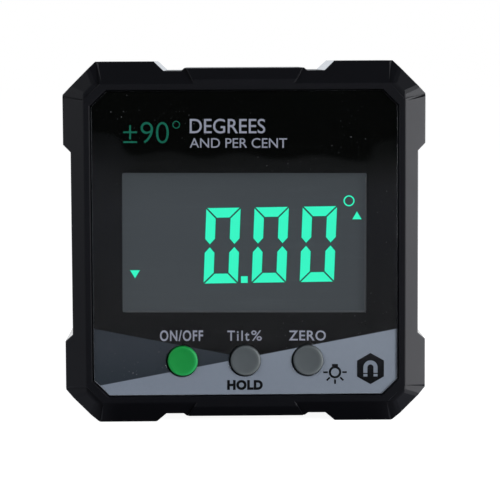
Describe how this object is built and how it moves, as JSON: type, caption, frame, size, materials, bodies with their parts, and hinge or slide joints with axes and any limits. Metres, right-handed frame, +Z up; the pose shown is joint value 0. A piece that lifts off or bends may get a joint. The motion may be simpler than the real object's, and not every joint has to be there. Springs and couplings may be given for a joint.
{
  "type": "digital angle gauge",
  "caption": "Square digital angle gauge with a backlit display, push buttons, raised corner lugs on all four sides and a magnetic base; shows tilt in degrees or per cent.",
  "frame": {"origin": "centre of the bounding box's bottom face: on the ground, under the middle of the body", "axes": "+X to the right as seen from the display side, +Z up, -Y out of the display"},
  "size_m": [0.062, 0.032, 0.062],
  "materials": {
    "housing": "satin black moulded plastic",
    "seal": "black silicone rubber",
    "lens": "glossy window, printed black and grey on the back",
    "display": "dark negative liquid crystal glass",
    "light_guide": "frosted acrylic",
    "white_plastic": "white nylon",
    "circuit_board": "green solder mask on glass fibre board",
    "chip": "black moulded package",
    "green_button": "satin green plastic",
    "grey_button": "satin grey plastic",
    "cell_jacket": "plain printed jacket on a steel can",
    "plated_steel": "bright nickel plate"
  },
  "bodies": {
    "housing": {"front_housing": "housing", "rear_cover": "housing", "housing_seal": "seal", "front_lens": "lens", "display_glass": "display", "backlight_guide": "light_guide", "display_frame": "white_plastic", "display_connector": "seal", "backlight_led_left": "white_plastic", "backlight_led_right": "white_plastic", "main_board": "circuit_board", "level_sensor": "plated_steel", "controller_chip": "chip", "power_switch": "chip", "hold_switch": "chip", "zero_switch": "chip", "battery_upper": "cell_jacket", "battery_lower": "cell_jacket", "battery_link_plate": "plated_steel", "battery_contact_minus": "plated_steel", "battery_contact_plus": "plated_steel", "battery_spring_upper": "plated_steel", "battery_spring_lower": "plated_steel", "contact_pin_minus": "plated_steel", "contact_pin_plus": "plated_steel", "battery_cover": "housing", "battery_cover_seal": "seal", "battery_cover_screw": "plated_steel", "housing_screw_1": "plated_steel", "housing_screw_2": "plated_steel", "housing_screw_3": "plated_steel", "housing_screw_4": "plated_steel", "board_screw_1": "plated_steel", "board_screw_2": "plated_steel", "board_screw_3": "plated_steel", "board_screw_4": "plated_steel", "magnet_1": "plated_steel", "magnet_2": "plated_steel", "magnet_3": "plated_steel", "magnet_4": "plated_steel"},
    "power_key": {"power_button": "green_button", "power_plunger": "white_plastic"},
    "hold_key": {"hold_button": "grey_button", "hold_plunger": "white_plastic"},
    "zero_key": {"zero_button": "grey_button", "zero_plunger": "white_plastic"}
  },
  "joints": [
    {"name": "power_press", "type": "slide", "parent": "housing", "child": "power_key", "axis": [0, 1, 0], "range_m": [0, 0.0005], "stiffness_N_per_m": 200},
    {"name": "hold_press", "type": "slide", "parent": "housing", "child": "hold_key", "axis": [0, 1, 0], "range_m": [0, 0.0005], "stiffness_N_per_m": 200},
    {"name": "zero_press", "type": "slide", "parent": "housing", "child": "zero_key", "axis": [0, 1, 0], "range_m": [0, 0.0005], "stiffness_N_per_m": 200}
  ]
}
